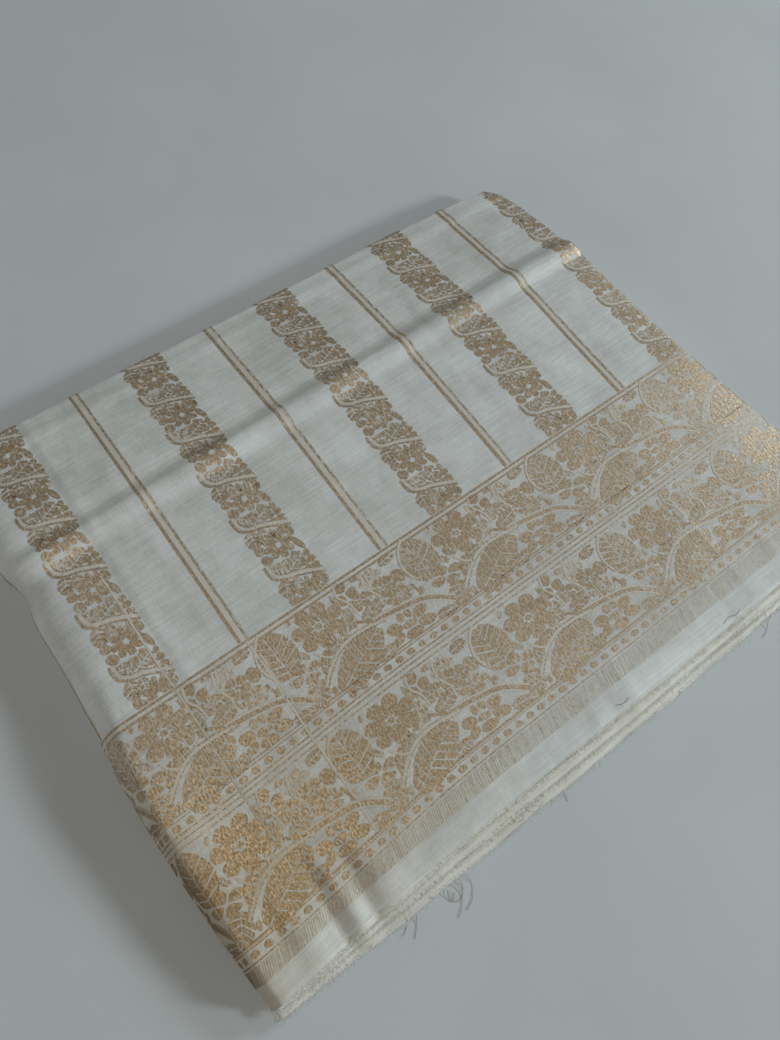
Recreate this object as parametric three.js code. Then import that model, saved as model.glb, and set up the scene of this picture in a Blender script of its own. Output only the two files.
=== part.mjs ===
// A folded raw silk saree, lying flat as a packet. The woven length is folded in its width, so the back edge
// is a fold and the front edge shows its selvedges, and then along its length, so the left and right edges are
// folds. Millimetres, +Z up, the underside on z = 0. Shapes are first placed from the line where the field
// meets the border (y = 0) and from the first pair of gold lines (x = 0), and the packet is then centred.

import * as THREE from "three";

// Driving sizes
const PACKET_HEIGHT = 24;
const WALL = 1.6;
const GAP = 0.3;
const FRONT = -123;
const BACK = 160;
const RIDGE = 86;
const BACK_ROLL = 3;
const RIGHT_ROLL = 3;
const RIGHT_RETURN = 6;
const LEFT_FOOT = 5;
const FLOOR_RUN = 6;
const LEAF_COUNT = 7;
const LEAF_DEPTH = 24;
const LEAF_GAP = 0.5;
const LEAF_INSET = 2;
const LEAF_WAVE = 0.4;
const LEAF_ROWS = [0, 0.5, 1];
const LEAVES_BY_ROLL = 3;
const LAYER_COUNT = 7;
const UNDER_INSET = 3;
const GROOVE = 1.4;
const FOLD_FADE = 45;
const BEND_START = 98;
const FRONT_START = -99;
const LEAF_CLEARANCE = 1;
const CORE_CLEARANCE = 1.8;

const INNER_BASE = WALL + GAP;
const CORE_FRONT = FRONT + LEAF_DEPTH + GAP;

// The outline from above: a row for each section across the packet. shoulder is how far in the left turn
// starts, belly the height of its widest point as a part of the packet's height there, and crisp how sharp its
// crest is, from 1, round, to 2, a straight slope.
const SECTIONS = [
  { y: -132, left: -70.5, right: 291, shoulder: 5, belly: 0.42, crisp: 1.5 },
  { y: -99, left: -73, right: 288.5, shoulder: 6, belly: 0.36, crisp: 1.6 },
  { y: -60, left: -75, right: 286, shoulder: 7, belly: 0.34, crisp: 1.6 },
  { y: -20, left: -75, right: 281.5, shoulder: 8.5, belly: 0.38, crisp: 1.5 },
  { y: 0, left: -73.5, right: 279.5, shoulder: 11, belly: 0.42, crisp: 1.3 },
  { y: 30, left: -71, right: 277, shoulder: 16, belly: 0.5, crisp: 1.05 },
  { y: 62, left: -70.5, right: 276, shoulder: 18, belly: 0.5, crisp: 1 },
  { y: 77, left: -68.5, right: 275.5, shoulder: 16, belly: 0.48, crisp: 1.1 },
  { y: 92, left: -72, right: 275, shoulder: 18, belly: 0.5, crisp: 1 },
  { y: 125, left: -72, right: 274, shoulder: 14, belly: 0.5, crisp: 1 },
  { y: 142, left: -69, right: 271, shoulder: 11, belly: 0.5, crisp: 1 },
  { y: 152, left: -63, right: 265, shoulder: 9, belly: 0.5, crisp: 1 },
  { y: 160, left: -54, right: 255, shoulder: 8, belly: 0.5, crisp: 1 },
];

// The back fold and the top stretch's selvedge, from left to right.
const LONG_EDGES = [
  { x: -75, back: 156, front: -128.5 },
  { x: -55, back: 158.5, front: -126.5 },
  { x: -30, back: 160, front: -123.5 },
  { x: 20, back: 159, front: -123 },
  { x: 100, back: 157, front: -123 },
  { x: 190, back: 156, front: -123.5 },
  { x: 250, back: 154, front: -124 },
  { x: 290, back: 151, front: -124.5 },
];

// How the top falls away: behind the ridge, at the open selvedges, at the front left corner and at the right.
const BACK_DROP = { left: 10, right: 12 };
const FRONT_DROP = { depth: 2.5, from: -103, run: 20 };
const CORNER_DROP = { depth: 7, fromX: 30, runX: 100, fromY: -20, runY: 105 };
const RIGHT_DROP = { depth: 1.5, run: 40 };

// The largest folds of the top: a soft ridge (rise above 0) or trough (below 0) along a straight line.
const FOLDS = [
  { name: "ridge across the field", x0: -120, y0: 84, x1: 330, y1: 88, width: 6.5, rise: 1.9 },
  { name: "kink before the ridge", x0: -120, y0: 74, x1: 330, y1: 77, width: 3.5, rise: -0.5 },
  { name: "back edge crease", x0: -120, y0: 149, x1: 330, y1: 144, width: 2.6, rise: 0.6 },
  { name: "border crease", x0: 1, y0: 12, x1: 1, y1: -150, width: 3, rise: -0.7 },
  { name: "short border crease", x0: -37, y0: 45, x1: -36, y1: -100, width: 3.2, rise: -0.7 },
  { name: "corner roll", x0: -66, y0: -60, x1: -66, y1: -175, width: 7, rise: 2.2 },
  { name: "corner bay", x0: -45, y0: -70, x1: -47, y1: -175, width: 6, rise: 1.2 },
  { name: "first trough", x0: -31, y0: -75, x1: -33, y1: -175, width: 4.5, rise: -3 },
  { name: "small bay", x0: -25, y0: -85, x1: -25, y1: -175, width: 4, rise: 1.2 },
  { name: "second trough", x0: -17, y0: -80, x1: -18, y1: -175, width: 4.5, rise: -2.6 },
  { name: "last bay", x0: -4, y0: -75, x1: -5, y1: -175, width: 8, rise: 1 },
];

// The selvedges under the top stretch, from the lowest up, with how far forward each reaches.
const LEAVES = [
  { left: -126.5, middle: -128.5, right: -128 },
  { left: -128.5, middle: -130, right: -129.5 },
  { left: -129.5, middle: -130.5, right: -129 },
  { left: -130, middle: -129, right: -130 },
  { left: -129, middle: -128, right: -127.5 },
  { left: -128.5, middle: -126.5, right: -126 },
  { left: -127, middle: -124.8, right: -125.2 },
];

// The hidden layers' edges, from the lowest up: how far each stands back at the right and at the back.
const LAYERS = [
  { right: 3.5, back: 2.5 },
  { right: 1.5, back: 1 },
  { right: 2.6, back: 1.8 },
  { right: 0.8, back: 1.2 },
  { right: 2.2, back: 1.5 },
  { right: 1.2, back: 1 },
  { right: 2, back: 1.4 },
];

// Steps of the grid: finer where the cloth bends.
const ROW_RUNS = [
  { from: FRONT, to: FRONT_START, steps: 4 },
  { from: FRONT_START, to: 0, steps: 5 },
  { from: 0, to: 66, steps: 3 },
  { from: 66, to: BEND_START, steps: 8 },
  { from: BEND_START, to: 138, steps: 3 },
  { from: 138, to: BACK - BACK_ROLL, steps: 4 },
];
const COLUMN_RUNS = [
  { from: 0, to: 0.24, steps: 14 },
  { from: 0.24, to: 1, steps: 10 },
];
const ROLL_STEPS = 6;
const TURN_STEPS = 8;

function clamp01(value) {
  return Math.min(1, Math.max(0, value));
}

function ease(value) {
  const t = clamp01(value);
  return t * t * (3 - 2 * t);
}

function mix(a, b, t) {
  return a + (b - a) * t;
}

// A smooth curve through one column of a table.
function column(table, key, name, at) {
  const last = table.length - 1;
  const t = Math.min(table[last][key], Math.max(table[0][key], at));
  let i = 0;
  while (i < last - 1 && t > table[i + 1][key]) i += 1;
  const slope = (k) => {
    const a = table[Math.max(0, k - 1)];
    const b = table[Math.min(last, k + 1)];
    return (b[name] - a[name]) / (b[key] - a[key]);
  };
  const span = table[i + 1][key] - table[i][key];
  const s = (t - table[i][key]) / span;
  const start = table[i][name];
  const end = table[i + 1][name];
  const bend = s * (1 - s) * span;
  return start + (end - start) * ease(s) + bend * ((1 - s) * slope(i) - s * slope(i + 1));
}

function section(name, y) {
  return column(SECTIONS, "y", name, y);
}

function longEdge(name, x) {
  return column(LONG_EDGES, "x", name, x);
}

function steps(runs) {
  const list = [runs[0].from];
  for (const run of runs) {
    for (let i = 1; i <= run.steps; i += 1) {
      list.push(mix(run.from, run.to, i / run.steps));
    }
  }
  return list;
}

// How far one fold lifts the cloth at a place.
function foldLift(fold, x, y) {
  const dx = fold.x1 - fold.x0;
  const dy = fold.y1 - fold.y0;
  const length = Math.hypot(dx, dy);
  const along = ((x - fold.x0) * dx + (y - fold.y0) * dy) / length;
  const across = ((x - fold.x0) * dy - (y - fold.y0) * dx) / length;
  const fade = ease(along / FOLD_FADE) * ease((length - along) / FOLD_FADE);
  return fold.rise * fade * Math.exp(-((across / fold.width) ** 2));
}

// Height of the packet's top above the surface it lies on.
function topHeight(x, y) {
  const across = clamp01((x + 70) / 345);
  const behind = clamp01((y - RIDGE) / (BACK - RIDGE));
  const backDrop = mix(BACK_DROP.left, BACK_DROP.right, across) * behind ** mix(1.3, 0.75, across);
  const frontDrop = FRONT_DROP.depth * clamp01((FRONT_DROP.from - y) / FRONT_DROP.run) ** 2;
  const cornerDrop = CORNER_DROP.depth
    * ease((CORNER_DROP.fromX - x) / CORNER_DROP.runX)
    * ease((CORNER_DROP.fromY - y) / CORNER_DROP.runY);
  const toRight = section("right", y) - x;
  const rightDrop = RIGHT_DROP.depth * clamp01(1 - toRight / RIGHT_DROP.run) ** 2;
  let height = PACKET_HEIGHT - backDrop - frontDrop - cornerDrop - rightDrop;
  for (const fold of FOLDS) {
    height += foldLift(fold, x, y);
  }
  return height;
}

// The left turn of one section: angle runs from 0 at its crest, through a quarter turn at the belly, to a half
// turn at the surface.
function leftTurn(y, angle, top, base, inset) {
  const belly = mix(base, top, section("belly", y));
  const upper = angle < Math.PI / 2;
  const power = upper ? section("crisp", y) : 1;
  const reach = upper ? section("shoulder", y) : LEFT_FOOT;
  const rise = Math.abs(Math.cos(angle)) ** power;
  const x = section("left", y) + inset + reach * (1 - Math.sin(angle) ** power);
  const z = upper ? mix(belly, top, rise) : mix(belly, base, rise);
  return [x, z];
}

// Where the inside of the left turn stands at a height.
function leftInside(y, z, top) {
  const belly = mix(INNER_BASE, top, section("belly", y));
  const power = z > belly ? section("crisp", y) : 1;
  const rise = z > belly ? (z - belly) / (top - belly) : (belly - z) / (belly - INNER_BASE);
  const angle = Math.acos(clamp01(rise) ** (1 / power));
  const turn = z > belly ? angle : Math.PI - angle;
  return leftTurn(y, turn, top, INNER_BASE, WALL + GAP + 0.1)[0];
}

// A place in the plan, drawn out to the curved front and back edges.
function drawnOut(x, y) {
  const back = (longEdge("back", x) - BACK) * ease((y - BEND_START) / (BACK - BACK_ROLL - BEND_START));
  const front = (longEdge("front", x) - FRONT) * ease((FRONT_START - y) / (FRONT_START - FRONT));
  return y + back + front;
}

function seamLeft(y) {
  return section("left", y) + section("shoulder", y);
}

function seamRight(y) {
  return section("right", y) - RIGHT_ROLL - RIGHT_RETURN;
}

function geometryOf(positions, triangles) {
  const geometry = new THREE.BufferGeometry();
  geometry.setAttribute("position", new THREE.Float32BufferAttribute(positions.flat(), 3));
  geometry.setIndex(triangles);
  geometry.computeVertexNormals();
  return geometry;
}

// A closed solid between two grids of points. Seen from outside, the outer one has rows to the back and
// columns to the right.
function slab(outer, inner) {
  const rows = outer.length;
  const columns = outer[0].length;
  const end = rows - 1;
  const side = columns - 1;
  const positions = [...outer.flat(), ...inner.flat()];
  const triangles = [];
  const place = (grid, r, c) => grid * rows * columns + r * columns + c;
  const quad = (a, b, c, d) => triangles.push(a, b, c, a, c, d);
  for (let r = 0; r < rows - 1; r += 1) {
    for (let c = 0; c < columns - 1; c += 1) {
      quad(place(0, r, c), place(0, r, c + 1), place(0, r + 1, c + 1), place(0, r + 1, c));
      quad(place(1, r, c), place(1, r + 1, c), place(1, r + 1, c + 1), place(1, r, c + 1));
    }
  }
  for (let c = 0; c < columns - 1; c += 1) {
    quad(place(1, 0, c), place(1, 0, c + 1), place(0, 0, c + 1), place(0, 0, c));
    quad(place(0, end, c), place(0, end, c + 1), place(1, end, c + 1), place(1, end, c));
  }
  for (let r = 0; r < rows - 1; r += 1) {
    quad(place(0, r, 0), place(0, r + 1, 0), place(1, r + 1, 0), place(1, r, 0));
    quad(place(1, r, side), place(1, r + 1, side), place(0, r + 1, side), place(0, r, side));
  }
  return geometryOf(positions, triangles);
}

// A wall of cloth behind a grid of outer points. Along a seam column it is cut square, so its neighbour fits.
function clothWall(outer, seamColumns) {
  const point = (r, c) => new THREE.Vector3(...outer[r][c]);
  const lastRow = outer.length - 1;
  const lastColumn = outer[0].length - 1;
  const inner = outer.map((row, r) => row.map((place, c) => {
    const along = point(Math.min(r + 1, lastRow), c).sub(point(Math.max(r - 1, 0), c));
    const across = point(r, Math.min(c + 1, lastColumn)).sub(point(r, Math.max(c - 1, 0)));
    const normal = across.cross(along);
    if (seamColumns.includes(c)) normal.x = 0;
    normal.normalize();
    return point(r, c).addScaledVector(normal, -WALL).toArray();
  }));
  return slab(outer, inner);
}

// The stretch on top, from the left crest to the right fold, rolling over the back edge.
function topStretch() {
  const rows = steps(ROW_RUNS).map((y) => steps(COLUMN_RUNS).map((u) => topPoint(u, y)));
  const edge = rows[rows.length - 1];
  for (let i = 1; i <= ROLL_STEPS; i += 1) {
    const angle = (i / ROLL_STEPS) * Math.PI;
    rows.push(edge.map(([x, y, z]) => [
      x,
      y + BACK_ROLL * Math.sin(angle),
      z - BACK_ROLL * (1 - Math.cos(angle)),
    ]));
  }
  return clothWall(rows, [0, rows[0].length - 1]);
}

function topPoint(u, gridY) {
  const guess = mix(seamLeft(gridY), seamRight(gridY), u);
  const y = drawnOut(guess, gridY);
  const x = mix(seamLeft(y) + GAP / 2, seamRight(y) - GAP / 2, u);
  return [x, y, topHeight(x, y)];
}

// The stretch round the left side, down to the surface and a little way under.
function leftSide() {
  const rows = steps(ROW_RUNS).map((gridY) => {
    const y = drawnOut(seamLeft(gridY), gridY);
    const top = topHeight(seamLeft(y), y);
    const row = [];
    for (let i = TURN_STEPS; i >= 0; i -= 1) {
      const [x, z] = leftTurn(y, (i / TURN_STEPS) * Math.PI, top, 0, 0);
      row.push([x - GAP / 2, y, z]);
    }
    row.unshift([row[0][0] + FLOOR_RUN, y, 0]);
    return row;
  });
  return clothWall(rows, [rows[0].length - 1]);
}

// The stretch folded round the right edge and back under the top.
function rightSide() {
  const rows = steps(ROW_RUNS).map((gridY) => {
    const y = drawnOut(seamRight(gridY), gridY);
    const seam = seamRight(y);
    const centre = section("right", y) - RIGHT_ROLL;
    const row = [[seam + GAP / 2, y, topHeight(seam, y)]];
    for (let i = 0; i <= ROLL_STEPS; i += 1) {
      const angle = (i / ROLL_STEPS) * Math.PI;
      const top = topHeight(centre, y);
      row.push([centre + RIGHT_ROLL * Math.sin(angle), y, top - RIGHT_ROLL * (1 - Math.cos(angle))]);
    }
    row.push([seam + 1, y, row[row.length - 1][2]]);
    return row;
  });
  return clothWall(rows, [0]);
}

// The flat stretch that the packet rests on.
function underStretch() {
  const columns = 6;
  const grid = (z) => steps(ROW_RUNS).map((gridY) => Array.from({ length: columns + 1 }, (_, c) => {
    const start = drawnOut(seamLeft(gridY), gridY);
    const left = section("left", start) + LEFT_FOOT + FLOOR_RUN + GAP;
    const guess = mix(left, section("right", gridY), c / columns);
    const y = c === 0 ? start : drawnOut(guess, gridY);
    return [mix(left, section("right", y) - UNDER_INSET, c / columns), y, z];
  }));
  return slab(grid(WALL), grid(0));
}

// A place inside the packet, at a share u of the way from the left turn to a right limit, and at a share of
// the height between the under stretch and a clearance below the top stretch.
function between(u, y, share, right, clearance) {
  const seam = seamLeft(y);
  const seamTop = topHeight(seam, y) - INNER_BASE - clearance;
  const left = leftInside(y, mix(INNER_BASE, seamTop, share), seamTop) + clearance;
  const x = mix(left, right, u);
  const top = topHeight(Math.max(x, seam), y) - INNER_BASE - clearance;
  return [x, mix(INNER_BASE, top, share)];
}

// One selvedge edge at the open front, between the heights of its neighbours.
function frontLeaf(index) {
  const reach = LEAVES[index];
  const fromTop = LEAF_COUNT - 1 - index;
  const rightInset = fromTop < LEAVES_BY_ROLL ? RIGHT_ROLL + RIGHT_RETURN + GAP : LEAF_INSET;
  const forward = (u) => {
    const wave = LEAF_WAVE * Math.sin(u * 21 + index * 2);
    const toMiddle = mix(reach.left, reach.middle, ease(u * 3));
    return wave + (u < 0.5 ? toMiddle : mix(reach.middle, reach.right, u * 2 - 1));
  };
  const place = (u, share, level, shift) => {
    const y = mix(forward(u), CORE_FRONT - GAP, share);
    const right = section("right", y) - rightInset;
    const [x, z] = between(u, y, level / LEAF_COUNT, right, LEAF_CLEARANCE);
    return [x, y, z + shift];
  };
  const surface = (level, shift) => LEAF_ROWS.map((share) => (
    steps(COLUMN_RUNS).map((u) => place(u, share, level, shift))
  ));
  return slab(surface(index + 1, -LEAF_GAP / 2), surface(index, LEAF_GAP / 2));
}

// The hidden layers as one solid, with a rounded edge for each layer at the right and at the back.
function coreLayers() {
  const across = 14;
  const along = 18;
  const clearOfRolls = 2 * Math.max(BACK_ROLL, RIGHT_ROLL) + GAP + WALL;
  const ringCount = 2 * LAYER_COUNT + 1;

  const edgeInset = (ring, side, depth) => {
    if (depth < clearOfRolls) return side === "right" ? RIGHT_ROLL + RIGHT_RETURN + 1 : BACK_ROLL + 2;
    const layer = LAYERS[Math.min(LAYER_COUNT - 1, Math.floor(ring / 2))];
    return layer[side] + (ring % 2 === 0 ? GROOVE : 0);
  };
  const point = (ring, u, v) => {
    const share = ring / (ringCount - 1);
    const side = mix(seamLeft(0), section("right", 0), u);
    const backTop = topHeight(side, longEdge("back", side) - BACK_ROLL);
    const backDepth = mix(backTop - INNER_BASE, INNER_BASE + CORE_CLEARANCE, share);
    const y = mix(CORE_FRONT, longEdge("back", side) - edgeInset(ring, "back", backDepth), v);
    const rightTop = topHeight(section("right", y), y);
    const rightDepth = mix(rightTop - INNER_BASE, INNER_BASE + CORE_CLEARANCE, share);
    const right = section("right", y) - edgeInset(ring, "right", rightDepth);
    const [x, z] = between(u, y, share, right, CORE_CLEARANCE);
    return [x, y, z];
  };

  const rim = [];
  for (let i = 0; i < across; i += 1) rim.push([i / across, 0]);
  for (let j = 0; j < along; j += 1) rim.push([1, j / along]);
  for (let i = across; i > 0; i -= 1) rim.push([i / across, 1]);
  for (let j = along; j > 0; j -= 1) rim.push([0, j / along]);

  const positions = [];
  const triangles = [];
  const gridOf = (ring) => {
    const start = positions.length;
    for (let j = 0; j <= along; j += 1) {
      for (let i = 0; i <= across; i += 1) positions.push(point(ring, i / across, j / along));
    }
    return (i, j) => start + j * (across + 1) + i;
  };
  const rimOf = (ring) => {
    const start = positions.length;
    for (const [u, v] of rim) positions.push(point(ring, u, v));
    return rim.map((_, k) => start + k);
  };
  const rimFromGrid = (grid) => rim.map(([u, v]) => grid(Math.round(u * across), Math.round(v * along)));

  const bottom = gridOf(0);
  const top = gridOf(ringCount - 1);
  for (let j = 0; j < along; j += 1) {
    for (let i = 0; i < across; i += 1) {
      triangles.push(top(i, j), top(i + 1, j), top(i + 1, j + 1));
      triangles.push(top(i, j), top(i + 1, j + 1), top(i, j + 1));
      triangles.push(bottom(i, j), bottom(i + 1, j + 1), bottom(i + 1, j));
      triangles.push(bottom(i, j), bottom(i, j + 1), bottom(i + 1, j + 1));
    }
  }
  let lower = rimFromGrid(bottom);
  for (let ring = 1; ring < ringCount; ring += 1) {
    const upper = ring === ringCount - 1 ? rimFromGrid(top) : rimOf(ring);
    for (let k = 0; k < rim.length; k += 1) {
      const next = (k + 1) % rim.length;
      triangles.push(lower[k], lower[next], upper[next], lower[k], upper[next], upper[k]);
    }
    lower = upper;
  }
  return geometryOf(positions, triangles);
}

// The cloth is undyed raw silk; the hidden layers are a little darker.
function silk(colour) {
  return new THREE.MeshStandardMaterial({ color: colour, roughness: 0.55, metalness: 0 });
}

const group = new THREE.Group();

function add(name, geometry, colour) {
  const mesh = new THREE.Mesh(geometry, silk(colour));
  mesh.name = name;
  group.add(mesh);
}

add("top_stretch", topStretch(), 0xd9d6cb);
add("left_turn", leftSide(), 0xd6d2c6);
add("right_turn", rightSide(), 0xcbbf9f);
add("under_stretch", underStretch(), 0xd2cfc4);
add("core_layers", coreLayers(), 0xcfcabd);
for (let i = 0; i < LEAF_COUNT; i += 1) {
  add(`front_leaf_${i + 1}`, frontLeaf(i), 0xd8d4c8);
}

const box = new THREE.Box3().setFromObject(group);
const middle = box.getCenter(new THREE.Vector3());
group.position.set(-middle.x, -middle.y, 0);

export default group;
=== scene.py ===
"""A folded raw silk saree with zari brocade, lying flat as a packet on a pale surface.

Lengths are in millimetres until a mesh is made. They start from the first pair of gold lines (x = 0) and
from the line where the field meets the border (y = 0), as in the part's source, whose surface is repeated
here. The cloth itself has two distances: a along the saree's length, which is x on the flat top, and b
across it, which is y there. The brocade is drawn in a and b and then laid on the cloth.
"""

from math import ceil, cos, floor, hypot, pi, radians, sin

import bpy
import numpy as np
from mathutils import Matrix, Vector


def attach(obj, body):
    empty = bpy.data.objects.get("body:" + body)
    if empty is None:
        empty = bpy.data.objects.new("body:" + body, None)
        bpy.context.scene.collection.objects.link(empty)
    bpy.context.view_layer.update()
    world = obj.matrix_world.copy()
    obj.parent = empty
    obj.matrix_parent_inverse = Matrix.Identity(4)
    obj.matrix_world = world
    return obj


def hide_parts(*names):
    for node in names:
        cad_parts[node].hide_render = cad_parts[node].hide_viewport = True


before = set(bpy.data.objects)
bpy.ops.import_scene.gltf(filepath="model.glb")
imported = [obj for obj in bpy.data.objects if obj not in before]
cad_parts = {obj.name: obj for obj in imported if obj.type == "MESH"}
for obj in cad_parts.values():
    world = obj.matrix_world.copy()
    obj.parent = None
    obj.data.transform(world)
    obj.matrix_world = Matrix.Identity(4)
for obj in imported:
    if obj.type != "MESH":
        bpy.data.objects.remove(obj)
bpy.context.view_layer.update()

# Units and the packet's middle
MM = 0.001
CENTRE = np.array([107.507, 14.570, 0.0])

# Driving sizes of the packet, as in the part's source
PACKET_HEIGHT = 24
FRONT = -123
BACK = 160
RIDGE = 86
BACK_ROLL = 3
RIGHT_ROLL = 3
RIGHT_RETURN = 6
LEFT_FOOT = 5
FLOOR_RUN = 6
FOLD_FADE = 45
BEND_START = 98
FRONT_START = -99
BACK_EDGE = BACK - BACK_ROLL
# How far the border's lines lean forward at the left, and where that starts and is full
LEAN = 7
LEAN_FROM, LEAN_FULL = 60, -65

# y, left, right, how far in the left turn starts, its belly's share of the height, and how crisp its crest is
SECTIONS = np.array([
    (-132, -70.5, 291, 5, 0.42, 1.5),
    (-99, -73, 288.5, 6, 0.36, 1.6),
    (-60, -75, 286, 7, 0.34, 1.6),
    (-20, -75, 281.5, 8.5, 0.38, 1.5),
    (0, -73.5, 279.5, 11, 0.42, 1.3),
    (30, -71, 277, 16, 0.5, 1.05),
    (62, -70.5, 276, 18, 0.5, 1),
    (77, -68.5, 275.5, 16, 0.48, 1.1),
    (92, -72, 275, 18, 0.5, 1),
    (125, -72, 274, 14, 0.5, 1),
    (142, -69, 271, 11, 0.5, 1),
    (152, -63, 265, 9, 0.5, 1),
    (160, -54, 255, 8, 0.5, 1),
])
LEFT, RIGHT, SHOULDER, BELLY, CRISP = 1, 2, 3, 4, 5

# x, the back fold's y and the top selvedge's y
LONG_EDGES = np.array([
    (-75, 156, -128.5),
    (-55, 158.5, -126.5),
    (-30, 160, -123.5),
    (20, 159, -123),
    (100, 157, -123),
    (190, 156, -123.5),
    (250, 154, -124),
    (290, 151, -124.5),
])
BACK_LINE, FRONT_LINE = 1, 2

# How the top falls away. The back's two values are those at the left and at the right.
BACK_DROP = (10, 12)
BACK_POWER = (1.3, 0.75)
ACROSS_FROM, ACROSS_RUN = -70, 345
FRONT_DROP, FRONT_DROP_FROM, FRONT_DROP_RUN = 2.5, -103, 20
CORNER_DROP, CORNER_FROM, CORNER_RUN = 7, (30, -20), (100, 105)
RIGHT_DROP, RIGHT_DROP_RUN = 1.5, 40
BROAD_WAVE, FINE_WAVE = 0.22, 0.12

# The back fold's radius at its corner with the right fold, and where it starts to shrink to that
CORNER_ROLL, CORNER_ROLL_FROM, CORNER_ROLL_RUN = 1.2, 244, 10

# Folds of the top, each along a straight line: x0, y0, x1, y1, width, rise
FOLDS = [
    (-120, 84, 330, 88, 6.5, 1.9),
    (-120, 74, 330, 77, 3.5, -0.5),
    (-120, 149, 330, 144, 2.6, 0.6),
    (1, 12, 1, -150, 3, -0.7),
    (-37, 45, -36, -100, 3.2, -0.7),
    (-66, -60, -66, -175, 7, 2.2),
    (-45, -70, -47, -175, 6, 1.2),
    (-31, -75, -33, -175, 4.5, -3),
    (-25, -85, -25, -175, 4, 1.2),
    (-17, -80, -18, -175, 4.5, -2.6),
    (-4, -75, -5, -175, 8, 1),
]

# Finer creases that only the looks have
FINE_FOLDS = [
    (-120, 86.5, 330, 90.5, 1.6, 0.45),
    (-120, 77, 330, 79.5, 1.4, -0.4),
    (-120, 93, 330, 98, 4.5, -0.75),
    (-120, 145.5, 330, 141, 1.0, 0.4),
    (-31, 190, -31.5, -26, 1.8, -0.7),
    (-27, 190, -27.5, -26, 2.2, 0.35),
    (-8, 150, -9, -20, 2.4, 0.35),
    (-35, -8, -34.5, -160, 0.9, 0.35),
    (0.5, 6, 0, -158, 0.9, 0.35),
    (33, 2, 33.5, -150, 0.9, 0.22),
    (-38, -88, -39.5, -165, 1.5, -0.8),
    (-16, -90, -16.5, -165, 1.5, -0.6),
    (96, 40, 99, -150, 1.3, -0.2),
    (63, -92, 60, -175, 2.2, 0.35),
    (81, -84, 79, -175, 1.6, -0.3),
    (108, -88, 104, -175, 2.4, 0.45),
    (117, -90, 114, -175, 1.8, -0.4),
    (129, -82, 127, -175, 3.0, 0.5),
    (141, -94, 143, -175, 1.6, -0.35),
    (176, -86, 173, -175, 2.6, 0.35),
    (193, -90, 190, -175, 1.8, -0.4),
    (231, -84, 234, -175, 3.2, 0.4),
    (262, -92, 259, -175, 2.0, -0.35),
    (170, 140, 168, 10, 3.0, -0.3),
    (205, 30, 209, -150, 1.6, 0.18),
    (-90, 44, 120, 40, 2.2, 0.2),
    (60, 120, 300, 113, 2.6, -0.25),
    (-60, 10.5, 120, 12, 1.2, -0.2),
]

# Steps of the cloth's grid
STEP = 2.0
EDGE_STEP = 1.25
FLAT_LEFT, FLAT_RIGHT = -46, 250
LEFT_COLUMNS, RIGHT_COLUMNS, BACK_ROLL_STEPS = 40, 36, 10
# Steps of one line across the packet: on the top, round the left side, on the surface, and round the right
TOP_STEP, TURN_STEPS, SURFACE_STEPS, ROLL_STEPS, RETURN_STEPS = 0.8, 48, 6, 16, 4
CLOTH_THICK = 0.45


def ease(value):
    t = np.clip(value, 0, 1)
    return t * t * (3 - 2 * t)


def mix(a, b, t):
    return a + (b - a) * t


def column(table, name, at):
    """A smooth curve through one column of a table, whose first column is where."""
    keys, values = table[:, 0], table[:, name]
    order = np.arange(len(keys))
    before, after = np.maximum(order - 1, 0), np.minimum(order + 1, len(keys) - 1)
    slopes = (values[after] - values[before]) / (keys[after] - keys[before])
    t = np.clip(at, keys[0], keys[-1])
    i = np.clip(np.searchsorted(keys, t, side="right") - 1, 0, len(keys) - 2)
    span = keys[i + 1] - keys[i]
    s = (t - keys[i]) / span
    bend = s * (1 - s) * span
    straight = values[i] + (values[i + 1] - values[i]) * ease(s)
    return straight + bend * ((1 - s) * slopes[i] - s * slopes[i + 1])


def fold_lift(fold, x, y):
    x0, y0, x1, y1, width, rise = fold
    dx, dy = x1 - x0, y1 - y0
    length = hypot(dx, dy)
    along = ((x - x0) * dx + (y - y0) * dy) / length
    across = ((x - x0) * dy - (y - y0) * dx) / length
    fade = ease(along / FOLD_FADE) * ease((length - along) / FOLD_FADE)
    return rise * fade * np.exp(-((across / width) ** 2))


def top_height(x, y):
    """Height of the packet's top above the surface it lies on."""
    across = np.clip((x - ACROSS_FROM) / ACROSS_RUN, 0, 1)
    behind = np.clip((y - RIDGE) / (BACK - RIDGE), 0, 1)
    height = PACKET_HEIGHT - mix(*BACK_DROP, across) * behind ** mix(*BACK_POWER, across)
    height = height - FRONT_DROP * np.clip((FRONT_DROP_FROM - y) / FRONT_DROP_RUN, 0, 1) ** 2
    to_left = ease((CORNER_FROM[0] - x) / CORNER_RUN[0])
    to_front = ease((CORNER_FROM[1] - y) / CORNER_RUN[1])
    height = height - CORNER_DROP * to_left * to_front
    to_right = column(SECTIONS, RIGHT, y) - x
    height = height - RIGHT_DROP * np.clip(1 - to_right / RIGHT_DROP_RUN, 0, 1) ** 2
    for fold in FOLDS + FINE_FOLDS:
        height = height + fold_lift(fold, x, y)
    height = height + BROAD_WAVE * np.sin(x / 23 + 1.3) * np.sin(y / 17 + 0.4)
    return height + FINE_WAVE * np.sin(x / 9.1 + y / 31) * np.sin(y / 11.3 - x / 40)


def drawn_out(x, y):
    """A place in the plan, drawn out to the curved front and back edges."""
    back = (column(LONG_EDGES, BACK_LINE, x) - BACK) * ease((y - BEND_START) / (BACK_EDGE - BEND_START))
    front = (column(LONG_EDGES, FRONT_LINE, x) - FRONT) * ease((FRONT_START - y) / (FRONT_START - FRONT))
    return y + back + front


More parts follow.
